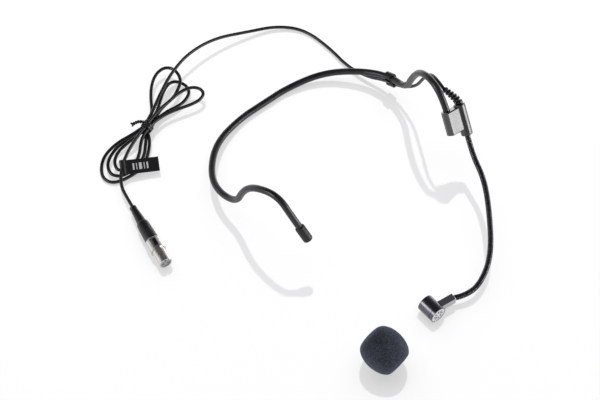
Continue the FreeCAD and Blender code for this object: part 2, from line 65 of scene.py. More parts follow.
def placed(rows):
    """Millimetres from the wearer's middle plane and ear line, as metres in the frame."""
    return (np.asarray(rows, float) + EAR_MIDDLE) * MM


def unit(v):
    """Vectors at length 1."""
    v = np.asarray(v, float)
    return v / np.linalg.norm(v, axis=-1, keepdims=True)


def smooth_line(corners, per_corner=48):
    """A smooth line inside corners, of any number of axes. Between the middles of two
    neighbouring runs it is (1-t)^2 start + 2t(1-t) corner + t^2 end, with t from 0 to 1."""
    p = np.asarray(corners, float)
    middles = (p[1:-2] + p[2:-1]) / 2
    start = np.vstack([p[:1], middles])[:, None]
    end = np.vstack([middles, p[-1:]])[:, None]
    t = (np.arange(per_corner) / per_corner)[None, :, None]
    line = (1 - t) ** 2 * start + 2 * t * (1 - t) * p[1:-1, None] + t ** 2 * end
    return np.vstack([line.reshape(-1, p.shape[1]), p[-1:]])


def walked(line):
    """How far along a line each of its points is."""
    steps = np.linalg.norm(np.diff(line, axis=0), axis=1)
    return np.concatenate([[0.0], np.cumsum(steps)])


def evenly(line, count):
    """The same line with that many points, equally far apart."""
    far = walked(line)
    at = np.linspace(0.0, far[-1], count)
    return np.column_stack([np.interp(at, far, line[:, k]) for k in range(line.shape[1])])


def skin(rows, sides):
    """The faces over rows of points, each row a ring, with the middles of both ends after
    them: four-sided ones between rings, and three-sided ones to the middle of each end."""
    i, j = np.meshgrid(np.arange(rows - 1), np.arange(sides), indexing="ij")
    near = (i * sides + j).ravel()
    beside = (i * sides + (j + 1) % sides).ravel()
    quads = np.column_stack([near, beside, beside + sides, near + sides])
    count = rows * sides
    ring = np.arange(sides)
    following = (ring + 1) % sides
    last = count - sides
    caps = np.vstack([
        np.column_stack([np.full(sides, count), following, ring]),
        np.column_stack([np.full(sides, count + 1), last + ring, last + following]),
    ])
    return quads, caps


def carried(path, radius, reference, sides, turn=0.0, flat=1.0):
    """A round profile carried along a path. Point (i, j) is path[i] + radius[i, j] *
    (cos a * side[i] + flat * sin a * up[i]), where a is 2 pi j / sides, side is the
    path's direction crossed with the reference, and up is square to both. turn spins the
    profile on its path. A point in the middle of each end closes it."""
    way = unit(np.gradient(path, axis=0))
    side = unit(np.cross(way, np.broadcast_to(reference, path.shape)))
    up = np.cross(side, way)
    spin = np.broadcast_to(np.asarray(turn, float), (len(path),))[:, None, None]
    side, up = side[:, None], up[:, None]
    side, up = side * np.cos(spin) + up * np.sin(spin), up * np.cos(spin) - side * np.sin(spin)
    a = (2 * np.pi * np.arange(sides) / sides)[None, :, None]
    radius = np.asarray(radius, float)
    radius = radius if radius.ndim == 2 else np.repeat(np.atleast_1d(radius)[:, None], sides, 1)
    radius = np.broadcast_to(radius, (len(path), sides))[:, :, None]
    points = path[:, None] + radius * (np.cos(a) * side + flat * np.sin(a) * up)
    points = np.vstack([points.reshape(-1, 3), path[:1], path[-1:]])
    return points, *skin(len(path), sides)


def turned(start, way, profile, sides, fluting=None):
    """A shape turned about an axis. The profile's rows are distance along the axis and
    radius, and point (i, j) is start + distance[i] * way + radius[i, j] * (cos a * side +
    sin a * up), where a is 2 pi j / sides. Fluting multiplies the radius point by point. A
    point in the middle of each end closes it."""
    profile = np.asarray(profile, float)
    way = unit(way)
    side = unit(np.cross(way, [0.0, 0.0, 1.0] if abs(way[2]) < 0.9 else [1.0, 0.0, 0.0]))
    up = np.cross(side, way)
    a = 2 * np.pi * np.arange(sides) / sides
    radius = np.repeat(profile[:, 1:], sides, 1)
    if fluting is not None:
        radius = radius * fluting
    spoke = np.cos(a)[:, None] * side + np.sin(a)[:, None] * up
    points = start + profile[:, 0, None, None] * way + radius[:, :, None] * spoke[None]
    ends = start + profile[[0, -1], :1] * way
    return np.vstack([points.reshape(-1, 3), ends]), *skin(len(profile), sides)


def outwards(points, quads, caps):
    """The same faces, turned over if they point inwards: then six times the enclosed
    volume, the sum of a . (b x c) over triangles, is below zero."""
    triangles = np.vstack([quads[:, [0, 1, 2]], quads[:, [0, 2, 3]], caps])
    centred = points - points.mean(0)
    a, b, c = (centred[triangles[:, k]] for k in range(3))
    if np.einsum("ij,ij->", a, np.cross(b, c)) < 0:
        return quads[:, ::-1], caps[:, ::-1]
    return quads, caps


def piece(name, shapes, material, edge_angle=40.0, attributes=None):
    """Makes an object of closed shapes, each of points, four-sided and three-sided faces."""
    points, faces, offset = [], [], 0
    for shape_points, quads, caps in shapes:
        quads, caps = outwards(shape_points, quads, caps)
        points.append(shape_points)
        faces += (quads + offset).tolist() + (caps + offset).tolist()
        offset += len(shape_points)
    mesh = bpy.data.meshes.new(name)
    mesh.from_pydata(np.vstack(points).tolist(), [], faces)
    for key, values in (attributes or {}).items():
        layer = mesh.attributes.new(key, "FLOAT", "POINT")
        layer.data.foreach_set("value", np.asarray(values, np.float32))
    mesh.materials.append(material)
    mesh.polygons.foreach_set("use_smooth", np.ones(len(mesh.polygons), bool))
    mesh.set_sharp_from_angle(angle=math.radians(edge_angle))
    mesh.update()
    made = bpy.data.objects.new(name, mesh)
    bpy.context.scene.collection.objects.link(made)
    return made


# ---------------------------------------------------------------- finishes

def colour(code):
    """An sRGB hex colour as linear red, green, blue and alpha."""
    parts = [int(code[k:k + 2], 16) / 255 for k in (1, 3, 5)]
    return tuple(v / 12.92 if v <= 0.04045 else ((v + 0.055) / 1.055) ** 2.4 for v in parts) + (1.0,)


def add(tree, kind, inputs=None, **settings):
    """Adds a node with its settings. An input is a value or another node's output."""
    node = tree.nodes.new("ShaderNode" + kind)
    for key, value in settings.items():
        setattr(node, key, value)
    for key, value in (inputs or {}).items():
        if isinstance(value, bpy.types.NodeSocket):
            tree.links.new(value, node.inputs[key])
        else:
            node.inputs[key].default_value = value
    return node


def finish(name, **sockets):
    """A new material, its node tree and its shader, with the sockets that are given."""
    material = bpy.data.materials.new(name)
    material.use_nodes = True
    tree = material.node_tree
    tree.nodes.clear()
    shader = add(tree, "BsdfPrincipled", {k.replace("_", " "): v for k, v in sockets.items()})
    add(tree, "OutputMaterial", {"Surface": shader.outputs[0]})
    return material, tree, shader


def moulded(name, deep, pale, grain, depth, roughness, spread=0.08, patch=6.0, **sockets):
    """A moulded or extruded plastic. Its colour wanders between deep and pale in patches of
    that many millimetres, and its skin has a grain of that size and depth in millimetres."""
    material, tree, shader = finish(name, **sockets)
    where = add(tree, "TexCoord").outputs["Object"]
    cloud = add(tree, "TexNoise", {"Vector": where, "Scale": 1000.0 / patch, "Detail": 3.0})
    fine = add(tree, "TexNoise", {"Vector": where, "Scale": 1000.0 / grain, "Detail": 2.0})
    both = add(tree, "Math", {0: cloud.outputs[0], 1: fine.outputs[0]}, operation="MULTIPLY")
    share = add(tree, "MapRange", {"Value": both.outputs[0], "From Min": 0.12, "From Max": 0.42})
    mix = add(tree, "Mix", {"Factor": share.outputs[0], "A": colour(deep), "B": colour(pale)},
              data_type="RGBA")
    gloss = add(tree, "MapRange", {"Value": cloud.outputs[0], "From Min": 0.3, "From Max": 0.7,
                                   "To Min": roughness - spread, "To Max": roughness + spread})
    bump = add(tree, "Bump", {"Height": fine.outputs[0], "Distance": depth * MM, "Strength": 1.0})
    tree.links.new(mix.outputs["Result"], shader.inputs["Base Color"])
    tree.links.new(gloss.outputs[0], shader.inputs["Roughness"])
    tree.links.new(bump.outputs[0], shader.inputs["Normal"])
    return material


def plated(name, deep, pale, roughness, streak=(1.0, 1.0, 1.0), grain=0.25, depth=0.002):
    """A metal part. Streaks of that grain in millimetres lie along the axis whose share in
    streak is smallest, as polishing or turning leaves them."""
    material, tree, shader = finish(name, Metallic=1.0)
    where = add(tree, "TexCoord").outputs["Object"]
    place = add(tree, "Mapping", {"Vector": where, "Scale": streak})
    lines = add(tree, "TexNoise", {"Vector": place.outputs[0], "Scale": 1000.0 / grain,
                                   "Detail": 4.0})
    cloud = add(tree, "TexNoise", {"Vector": where, "Scale": 1000.0 / 3.0, "Detail": 2.0})
    mix = add(tree, "Mix", {"Factor": lines.outputs[0], "A": colour(deep), "B": colour(pale)},
              data_type="RGBA")
    gloss = add(tree, "MapRange", {"Value": cloud.outputs[0], "From Min": 0.3, "From Max": 0.7,
                                   "To Min": roughness - 0.05, "To Max": roughness + 0.07})
    bump = add(tree, "Bump", {"Height": lines.outputs[0], "Distance": depth * MM})
    tree.links.new(mix.outputs["Result"], shader.inputs["Base Color"])
    tree.links.new(gloss.outputs[0], shader.inputs["Roughness"])
    tree.links.new(bump.outputs[0], shader.inputs["Normal"])
    return material


def wound_wire():
    """Steel wire wound into a gooseneck and stoved black. A pale metal colour is painted on the
    crests of its turns, broken up by noise, as painted highlights that make them glint. The crests
    are also glossier, and the grooves stay black and dull."""
    material, tree, shader = finish("Black stoved wound steel", IOR=1.52, Metallic=0.75)
    crest = add(tree, "Attribute", attribute_name="crest").outputs["Fac"]
    where = add(tree, "TexCoord").outputs["Object"]
    # Noise that breaks up the painted crest highlights.
    worn = add(tree, "TexNoise", {"Vector": where, "Scale": 1000.0 / 0.9, "Detail": 3.0})
    crest_glint = add(tree, "Math", {0: crest, 1: worn.outputs[0]}, operation="MULTIPLY")
    share = add(tree, "MapRange", {"Value": crest_glint.outputs[0], "From Min": 0.35, "From Max": 0.65})
    # Painted highlight: where crest and noise are both high, the black turns pale grey metal.
    mix = add(tree, "Mix", {"Factor": share.outputs[0], "A": colour("#131315"),
                            "B": colour("#8a8a92")}, data_type="RGBA")
    gloss = add(tree, "MapRange", {"Value": crest, "To Min": 0.55, "To Max": 0.24})
    tree.links.new(mix.outputs["Result"], shader.inputs["Base Color"])
    tree.links.new(gloss.outputs[0], shader.inputs["Roughness"])
    return material


def open_foam():
    """Reticulated polyurethane foam, dyed charcoal. Cut cells 0.7 mm wide give it a speckle of pale
    walls round dark pores, where the dark of the pores is painted shade in their hollows, and it has
    the soft edge glow of a fibrous surface."""
    material, tree, shader = finish("Charcoal open-cell foam", IOR=1.4, Sheen_Weight=0.35,
                                    Sheen_Roughness=0.5, Sheen_Tint=colour("#a9b4d6"))
    where = add(tree, "TexCoord").outputs["Object"]
    cells = add(tree, "TexVoronoi", {"Vector": where, "Scale": 1000.0 / 0.7}, feature="F1")
    fine = add(tree, "TexNoise", {"Vector": where, "Scale": 1000.0 / 0.35, "Detail": 3.0})
    cloud = add(tree, "TexNoise", {"Vector": where, "Scale": 1000.0 / 7.0, "Detail": 2.0})
    wall = add(tree, "Math", {0: cells.outputs["Distance"], 1: fine.outputs[0]},
               operation="MULTIPLY")
    share = add(tree, "MapRange", {"Value": wall.outputs[0], "From Min": 0.08, "From Max": 0.42})
    # Painted shade: the colour is darkest at the middles of the cells, the pores, and palest on
    # their walls.
    mix = add(tree, "Mix", {"Factor": share.outputs[0], "A": colour("#14151a"),
                            "B": colour("#4a4e5c")}, data_type="RGBA")
    tone = add(tree, "MapRange", {"Value": cloud.outputs[0], "From Min": 0.3, "From Max": 0.7,
                                  "To Min": 0.8, "To Max": 1.15})
    shade = add(tree, "Mix", {"Factor": 1.0, "A": mix.outputs["Result"],
                              "B": tone.outputs[0]}, data_type="RGBA", blend_type="MULTIPLY")
    bump = add(tree, "Bump", {"Height": wall.outputs[0], "Distance": 0.35 * MM})
    tree.links.new(shade.outputs["Result"], shader.inputs["Base Color"])
    tree.links.new(bump.outputs[0], shader.inputs["Normal"])
    shader.inputs["Roughness"].default_value = 0.9
    return material


def printed_film():
    """Black vinyl film with a white block of plain bars. The ink lies flat and matt on the
    film, which has a faint satin gloss."""
    material, tree, shader = finish("Black printed vinyl film", IOR=1.5)
    ink = add(tree, "Attribute", attribute_name="ink").outputs["Fac"]
    where = add(tree, "TexCoord").outputs["Object"]
    fine = add(tree, "TexNoise", {"Vector": where, "Scale": 1000.0 / 0.5, "Detail": 2.0})
    film = add(tree, "Mix", {"Factor": fine.outputs[0], "A": colour("#161618"),
                             "B": colour("#26262a")}, data_type="RGBA")
    mix = add(tree, "Mix", {"Factor": ink, "A": film.outputs["Result"],
                            "B": colour("#e4e4e6")}, data_type="RGBA")
    gloss = add(tree, "MapRange", {"Value": ink, "To Min": 0.38, "To Max": 0.6})
    tree.links.new(mix.outputs["Result"], shader.inputs["Base Color"])
    tree.links.new(gloss.outputs[0], shader.inputs["Roughness"])
    return material


def woven_mesh():
    """Fine black polyester mesh behind the grille: threads 0.2 mm apart, drawn at 0.4 mm so
    that they show."""
    material, tree, shader = finish("Black polyester acoustic mesh", Roughness=0.8)
    where = add(tree, "TexCoord").outputs["Object"]
    place = add(tree, "Mapping", {"Vector": where, "Scale": (2500.0, 2500.0, 2500.0)})
    checks = add(tree, "TexChecker", {"Vector": place.outputs[0], "Scale": 1.0,
                                      "Color1": colour("#08080a"), "Color2": colour("#26262a")})
    bump = add(tree, "Bump", {"Height": checks.outputs["Fac"], "Distance": 0.08 * MM})
    tree.links.new(checks.outputs["Color"], shader.inputs["Base Color"])
    tree.links.new(bump.outputs[0], shader.inputs["Normal"])
    return material


def finishes(looks):
    """Every finish, by the record's slot or by the name of the soft piece that wears it."""
    black_abs = dict(deep="#1b1b1e", pale="#2a2a2e", grain=0.35, depth=0.006, IOR=1.55)
    return {
        # Extruded soft PVC: satin, faintly blue where it catches the light.
        "tube_black": moulded("Extruded soft PVC", "#141416", looks.tube, 0.3, 0.004, 0.34,
                              IOR=1.52),
        # Moulded ABS under satin lacquer: an even skin that mirrors large lights.
        "holder_black": moulded("Lacquered moulded ABS", roughness=0.3, Coat_Weight=0.7,
                                Coat_Roughness=0.16, Coat_IOR=1.55, **black_abs),
        "cap_black": moulded("Moulded thermoplastic rubber", "#111113", "#232327", 0.4, 0.01,
                             0.5, IOR=1.5),
        "clip_black": moulded("Moulded nylon clip", "#121214", "#222226", 0.3, 0.006, 0.36,
                              IOR=1.53),
        "bush_black": moulded("Moulded nylon bush", "#101012", "#1d1d20", 0.4, 0.006, 0.45),
        "splice_sleeve": moulded("Heat-shrunk polyolefin sleeve", "#151517", "#2c2c30", 0.8,
                                 0.02, 0.4),
        "relief_black": moulded("Moulded soft PVC relief", "#101012", "#26262a", 0.4, 0.006,
                                0.3, IOR=1.52),
        "gooseneck_black": wound_wire(),
        # Smoked chrome over brass: dark where it mirrors the dark ceiling, bright below.
        "collar_black": plated("Smoked chrome-plated brass", "#a8a8ae", "#cacad0", 0.14),
        # Turned aluminium, anodised black: a deep colour with a low metallic gloss.
        "capsule_black": plated("Black anodised aluminium", "#57575c", "#727278", 0.26,
                                streak=(1.0, 0.08, 1.0)),
        "grille_silver": plated("Satin nickel-plated brass", "#cfcfd4", "#f2f2f6", 0.3),
        "mesh_dark": woven_mesh(),
        "gasket_black": moulded("Die-cut rubber gasket", "#0e0e10", "#1c1c1e", 0.3, 0.01, 0.7),
        "element_metal": plated("Drawn aluminium can", "#b4b4b8", "#dcdce0", 0.25),
        "board_green": moulded("Solder-masked glass epoxy", "#0d4a28", "#17653a", 0.4, 0.004,
                               0.3, patch=2.0, IOR=1.5),
        "lead_copper": plated("Tinned copper lead", "#b07848", "#dca070", 0.25),
        "spring_wire": plated("Drawn spring steel", "#8e8e92", "#c4c4c8", 0.22),
        "foam_charcoal": open_foam(),
        "cord_black": moulded("Extruded PVC cord jacket", "#1a1a1c", looks.cord, 0.35, 0.006,
                              0.36, IOR=1.52),
        "tie_black": moulded("Polythene-coated tie wire", "#141416", "#2a2a2e", 0.5, 0.01,
                             0.3, IOR=1.5),
        "label_black": printed_film(),
        "plug_rubber": moulded("Moulded plug rubber", "#151517", "#27272b", 0.35, 0.006, 0.27,
                               IOR=1.53),
        "plug_chuck": moulded("Moulded acetal chuck", "#2a2a2c", "#3a3a3d", 0.4, 0.004, 0.4),
        "plug_nickel": plated("Satin nickel-plated zinc", looks.nickel, "#f0eeea", 0.2,
                              streak=(1.0, 0.15, 1.0)),
        "insert_black": moulded("Glass-filled nylon insert", "#8c8c90", "#a8a8ac", 0.3, 0.004,
                                0.42),
        "contact_gold": plated("Gold-plated brass contact", "#c79a44", "#e6bf6c", 0.2),
        "latch_dark": plated("Blackened steel latch", "#38383c", "#55555a", 0.3),
    }


def worn(name):
    """A finish that is already made, by its slot."""
    return bpy.data.materials[bpy.context.scene["headset_finishes"][name]]


# ---------------------------------------------------------------- sizes and colours

class HeadsetLooks(bpy.types.PropertyGroup):
    """Colours of the finishes."""
    tube: bpy.props.StringProperty(
        name="Tube", description="Palest colour of the neckband's tube, as sRGB hex",
        default="#2c2c31")
    cord: bpy.props.StringProperty(
        name="Cord", description="Palest colour of the cord's jacket, as sRGB hex",
        default="#303034")
    nickel: bpy.props.StringProperty(
        name="Nickel", description="Deepest colour of the plug's plating, as sRGB hex",
        default="#c4c2be")
    floor: bpy.props.StringProperty(
        name="Floor", description="Colour of the glossy floor, as sRGB hex", default="#58585a")


class HeadsetSizes(bpy.types.PropertyGroup):
    """Sizes of the new pieces."""
    tube_radius: bpy.props.FloatProperty(
        name="Tube radius", description="Half the diameter of the neckband's tube",
        default=2.3 * MM, unit="LENGTH", precision=5)
    boom_radius: bpy.props.FloatProperty(
        name="Boom radius", description="Half the diameter of the gooseneck",
        default=1.9 * MM, unit="LENGTH", precision=5)
    wire_pitch: bpy.props.FloatProperty(
        name="Wire pitch", description="From one turn of the gooseneck's wire to the next",
        default=1.15 * MM, unit="LENGTH", precision=5)
    cord_diameter: bpy.props.FloatProperty(
        name="Cord diameter", description="Outside diameter of the cord's jacket",
        default=2.3 * MM, unit="LENGTH", precision=5)
    cord_length: bpy.props.FloatProperty(
        name="Cord length", description="From the strain relief to the plug's boot",
        default=1.027, unit="LENGTH")
    foam_cell: bpy.props.FloatProperty(
        name="Foam roughness", description="How far cut cells stand off the windscreen's surface",
        default=0.12 * MM, unit="LENGTH", precision=5)


# ---------------------------------------------------------------- routes

# The cord, from the strain relief through the clip and round the back of the neckband.
CORD_RUN = [
    (71.3, -20.2, 55.6), (73.2, -11.0, 56.0), (77.5, -1.0, 49.0), (78.8, 6.5, 37.0),
    (78.8, 13.0, 22.0), (77.3, 26.0, 10.7), (74.9, 41.3, 6.5), (70.0, 51.5, 3.8),
    (66.0, 69.0, 1.9), (68.0, 92.0, 1.3), (65.5, 117.0, 1.3), (52.0, 132.0, 2.0),
    (32.0, 140.0, 3.6), (8.0, 147.5, 8.0), (-16.0, 147.0, 10.0), (-36.0, 141.0, 8.5),
    (-53.0, 131.5, 7.4), (-65.0, 123.5, 6.8),
]
# The hank's loops. Near loops lie towards the plug, far loops towards the neckband.
NEAR_OUTER = [
    (-81.0, 117.0, 6.0), (-88.5, 117.5, 5.0), (-97.5, 119.0, 4.0), (-107.0, 118.0, 3.0),
    (-114.5, 115.0, 2.0), (-120.5, 108.5, 1.5), (-123.0, 102.0, 1.2), (-121.0, 96.0, 1.2),
    (-115.5, 93.0, 1.2), (-107.0, 92.0, 1.2), (-99.5, 92.0, 1.5), (-91.0, 96.0, 2.0),
    (-83.5, 103.0, 3.0), (-80.0, 107.5, 3.8),
]
NEAR_MIDDLE = [
    (-83.5, 115.0, 5.5), (-91.5, 115.5, 5.0), (-100.5, 116.0, 4.5), (-109.0, 113.0, 4.0),
    (-115.0, 108.5, 3.5), (-117.5, 102.5, 3.0), (-116.5, 98.5, 2.5), (-112.0, 95.5, 1.5),
    (-104.5, 95.0, 1.5), (-97.5, 96.0, 1.5), (-90.5, 99.5, 2.5), (-85.0, 105.5, 3.5),
    (-81.8, 109.0, 4.0),
]
NEAR_INNER = [
    (-85.5, 113.5, 6.5), (-95.0, 112.5, 6.5), (-102.5, 111.5, 6.0), (-108.5, 108.5, 5.0),
    (-111.5, 104.5, 4.5), (-112.5, 100.0, 4.0), (-109.5, 98.0, 3.5), (-104.5, 96.5, 3.5),
    (-99.0, 97.5, 3.5), (-93.0, 101.5, 4.0), (-87.5, 107.5, 5.0), (-82.0, 111.5, 6.0),
]
FAR_OUTER = [
    (-62.0, 121.5, 5.0), (-53.5, 124.0, 4.5), (-44.5, 126.0, 4.5), (-37.5, 130.0, 5.0),
    (-33.0, 133.5, 5.5), (-30.5, 140.0, 6.0), (-31.0, 146.5, 6.0), (-35.0, 150.5, 6.0),
    (-42.5, 150.0, 5.5), (-50.5, 144.5, 5.0), (-58.0, 135.5, 5.0), (-65.5, 123.5, 5.0),
]
FAR_MIDDLE = [
    (-58.0, 119.5, 3.5), (-49.0, 118.5, 3.0), (-42.0, 119.0, 2.5), (-37.0, 121.0, 2.5),
    (-33.0, 124.0, 2.5), (-31.5, 129.5, 2.5), (-33.0, 135.0, 2.5), (-36.0, 138.0, 3.0),
    (-40.5, 138.5, 3.5), (-47.5, 135.0, 3.5), (-54.5, 129.5, 3.5), (-61.5, 123.5, 4.0),
]
FAR_INNER = [
    (-62.5, 116.5, 5.5), (-56.0, 116.0, 5.5), (-48.0, 114.0, 5.5), (-40.5, 111.8, 5.5),
    (-33.5, 110.8, 6.0), (-28.0, 113.2, 6.5), (-27.8, 118.8, 7.0), (-32.5, 123.2, 7.5),
    (-41.0, 124.5, 7.5), (-51.5, 122.8, 7.0), (-61.5, 121.5, 7.0),
]
CORD_END = [
    (-81.0, 114.0, 8.0), (-88.5, 110.5, 8.8), (-97.0, 106.5, 8.8), (-104.5, 102.0, 8.2),
    (-110.3, 97.4, 7.0), (-115.0, 93.0, 5.6), (-119.0, 86.5, 4.6), (-121.1, 79.7, 5.2),
    (-123.5, 67.9, 5.2),
]
# The seven strands in the tie lie round a middle one: places across the hank and up.
TIE_MIDDLE = (-75.5, 116.0, 5.2)
HANK_WAY = (0.933, 0.36, 0.0)
HANK_ACROSS = (-0.36, 0.933, 0.0)
STRANDS = [(2.1, 1.2), (-2.1, -1.2), (2.1, -1.2), (0.0, -2.4), (0.0, 0.0), (-2.1, 1.2),
           (0.0, 2.4)]

PLUG_START = (-123.5, 67.9, 5.2)
PLUG_WAY = np.array([-0.2028, -0.9792, 0.0])

BAND_SIDE = [
    (22.0, 82.0, 2.5), (48.5, 74.0, 5.5), (68.5, 54.5, 9.0), (76.0, 36.0, 13.5),
    (74.5, 18.0, 19.0), (73.0, 11.5, 38.0), (71.0, 1.5, 54.5), (67.0, -16.5, 60.5),
    (65.5, -29.5, 48.5), (62.7, -40.0, 35.5),
]
FREE_HOOK_DROP = 4.5       # the free hook's end lies that much lower than the right one

BARREL_UP = np.array([0.1653, 0.6197, 0.7672])
BARREL_BOTTOM = np.array([72.0, -44.3, 29.6])
BARREL_LENGTH = 22.0
BARREL_TOP = BARREL_BOTTOM + BARREL_LENGTH * BARREL_UP
BOOM_CORNERS = [
    BARREL_BOTTOM + 3.8 * BARREL_UP, BARREL_BOTTOM, BARREL_BOTTOM - 6.0 * BARREL_UP,
    (66.6, -57.5, 21.8), (61.0, -73.0, 19.3), (48.5, -91.5, 16.2), (27.0, -116.8, 11.6),
    (8.4, -126.4, 7.6), (-4.0, -126.0, 6.4), (-10.6, -122.3, 5.8),
]
# The windscreen's widest ring, the way its mouth points, and the distance between them.
FOAM_MIDDLE = np.array([-73.5, -127.0, 14.8])
FOAM_LEAN = np.array([0.19, -0.89, -0.40])
FOAM_WAIST = 12.5
FOAM_RADIUS = 13.9

# The label wraps the cord at one end, and its leaves run from there to the other.
LABEL_WRAP = np.array([-110.0, 97.6, 7.0])
LABEL_END = np.array([-88.5, 85.8, 4.6])
LABEL_LEAN = np.array([0.47, 0.79, 0.39])
LABEL_LEAF = 24.8
LABEL_WIDTH = 10.0
LABEL_BARS = [(7.0, 8.2), (9.4, 10.0), (11.2, 13.2), (14.6, 15.2), (16.4, 17.6)]
LABEL_BAR_HALF_HEIGHT = 2.2

CAMERA_AIM = Vector((-0.0299, 0.0309, 0.0))
CAMERA_PLACE = Vector((-0.4456, -0.4897, 0.9169))
CAMERA_ROLL = math.radians(-1.5)


def strand(number, heading):
    """Two points of a strand in the tie, towards the near loops or towards the far ones."""
    across, up = STRANDS[number]
    middle = np.array(TIE_MIDDLE) + across * np.array(HANK_ACROSS) + np.array([0.0, 0.0, up])
    way = 3.2 * np.array(HANK_WAY) * heading
    return [tuple(middle - way), tuple(middle + way)]


def cord_corners():
    """The whole cord's corners: in through the tie, three loops on each side, and out."""
    near, far = -1.0, 1.0
    rows = CORD_RUN + strand(0, near) + NEAR_OUTER + strand(1, far) + FAR_OUTER
    rows = rows + strand(2, near) + NEAR_MIDDLE + strand(3, far) + FAR_MIDDLE
    rows = rows + strand(4, near) + NEAR_INNER + strand(5, far) + FAR_INNER
    return placed(rows + strand(6, near) + CORD_END)


# ---------------------------------------------------------------- operators

class HEADSET_OT_stage(bpy.types.Operator):
    """Makes the camera, the lights, the glossy floor and every finish"""
    bl_idname = "headset.stage"
    bl_label = "Stage and finishes"

    def execute(self, context):
        scene = context.scene
        looks = scene.headset_looks

        lens = bpy.data.cameras.new("Camera")
        lens.lens = 102.0
        lens.sensor_width = 36.0
        camera = bpy.data.objects.new("Camera", lens)
        camera.location = CAMERA_PLACE
        camera.rotation_mode = "QUATERNION"
        looking = (CAMERA_AIM - CAMERA_PLACE).to_track_quat("-Z", "Y")
        camera.rotation_quaternion = looking @ Quaternion((0, 0, 1), CAMERA_ROLL)
        scene.collection.objects.link(camera)
        scene.camera = camera

        # Opal acrylic sheet, lit from below: an even white under a polished, mirroring face.
        material, tree, shader = finish("Lit opal acrylic sheet", IOR=1.5,
                                        Emission_Color=(1.0, 1.0, 1.0, 1.0),
                                        Emission_Strength=0.58)
        where = add(tree, "TexCoord").outputs["Object"]
        cloud = add(tree, "TexNoise", {"Vector": where, "Scale": 12.0, "Detail": 2.0})
        gloss = add(tree, "MapRange", {"Value": cloud.outputs[0], "To Min": 0.05, "To Max": 0.07})
        tree.links.new(gloss.outputs[0], shader.inputs["Roughness"])
        shader.inputs["Base Color"].default_value = colour(looks.floor)
        radius, sides = 4.0, 96
        a = 2 * np.pi * np.arange(sides) / sides
        rim = np.column_stack([radius * np.cos(a), radius * np.sin(a), np.full(sides, 0.0)])
        mesh = bpy.data.meshes.new("Floor")
        mesh.from_pydata(rim.tolist(), [], [list(range(sides))])
        mesh.materials.append(material)
        floor = bpy.data.objects.new("Floor", mesh)
        floor.location.z = -0.05 * MM
        scene.collection.objects.link(floor)

        # One collection gives a lamp to the floor alone, and the other to all but the floor.
        groups = {}
        for name, state in (("Floor only", "INCLUDE"), ("All but floor", "EXCLUDE")):
            groups[state] = bpy.data.collections.new(name)
            groups[state].objects.link(floor)
            groups[state].collection_objects[0].light_linking.link_state = state

        # Name, direction from the object, distance, width, radiance, and what it lights.
        lamps = [
            ("Floor softbox", (0.367, 0.459, 0.809), 1.6, 3.6, 4.6, "INCLUDE"),
            ("Side panel", (0.70, -0.71, 0.12), 1.2, 0.75, 7.0, "EXCLUDE"),
            ("Left panel", (-0.80, 0.30, 0.55), 1.3, 0.6, 5.0, "EXCLUDE"),
        ]
        for name, way, distance, width, radiance, state in lamps:
            data = bpy.data.lights.new(name, "AREA")
            data.shape = "SQUARE"
            data.size = width
            data.energy = radiance * math.pi * width ** 2
            lamp = bpy.data.objects.new(name, data)
            lamp.location = CAMERA_AIM + Vector(way).normalized() * distance
            lamp.rotation_euler = (-Vector(way)).to_track_quat("-Z", "Y").to_euler()
            lamp.light_linking.receiver_collection = groups[state]
            scene.collection.objects.link(lamp)

        # The room: bright walls and a dark ceiling, which keeps upper faces deep black.
        world = bpy.data.worlds.new("Studio")
        world.use_nodes = True
        tree = world.node_tree
        way = add(tree, "SeparateXYZ", {"Vector": add(tree, "TexCoord").outputs["Generated"]})
        level = add(tree, "MapRange", {"Value": way.outputs["Z"], "From Min": 0.0,
                                       "From Max": 0.6, "To Min": 1.0, "To Max": 0.10})
        tree.links.new(level.outputs[0], tree.nodes["Background"].inputs["Strength"])
        tree.nodes["Background"].inputs["Color"].default_value = (1.0, 1.0, 1.0, 1.0)
        scene.world = world
        scene.view_settings.view_transform = "Standard"

        made = finishes(looks)
        scene["headset_finishes"] = {slot: m.name for slot, m in made.items()}
        return {"FINISHED"}


class HEADSET_OT_cord(bpy.types.Operator):
    """Makes the cord as one smooth spline, from the strain relief to the plug"""
    bl_idname = "headset.cord"
    bl_label = "Cord"

    def execute(self, context):
        sizes = context.scene.headset_sizes
        corners = cord_corners()
        curve = bpy.data.curves.new("cord_line", "CURVE")
        curve.dimensions = "3D"
        line = curve.splines.new("NURBS")
        line.points.add(len(corners) - 1)
        line.points.foreach_set("co", np.column_stack([corners, np.ones(len(corners))]).ravel())
        line.order_u = 3
        line.use_endpoint_u = True
        curve.resolution_u = 10
        curve.bevel_depth = sizes.cord_diameter / 2
        curve.bevel_resolution = 6
        curve.use_fill_caps = True
        curve.materials.append(worn("cord_black"))
        cord = bpy.data.objects.new("cord_line", curve)
        context.scene.collection.objects.link(cord)
        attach(cord, "headset")
        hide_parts("cord", "cord_tail", "cord_hank")
        return {"FINISHED"}


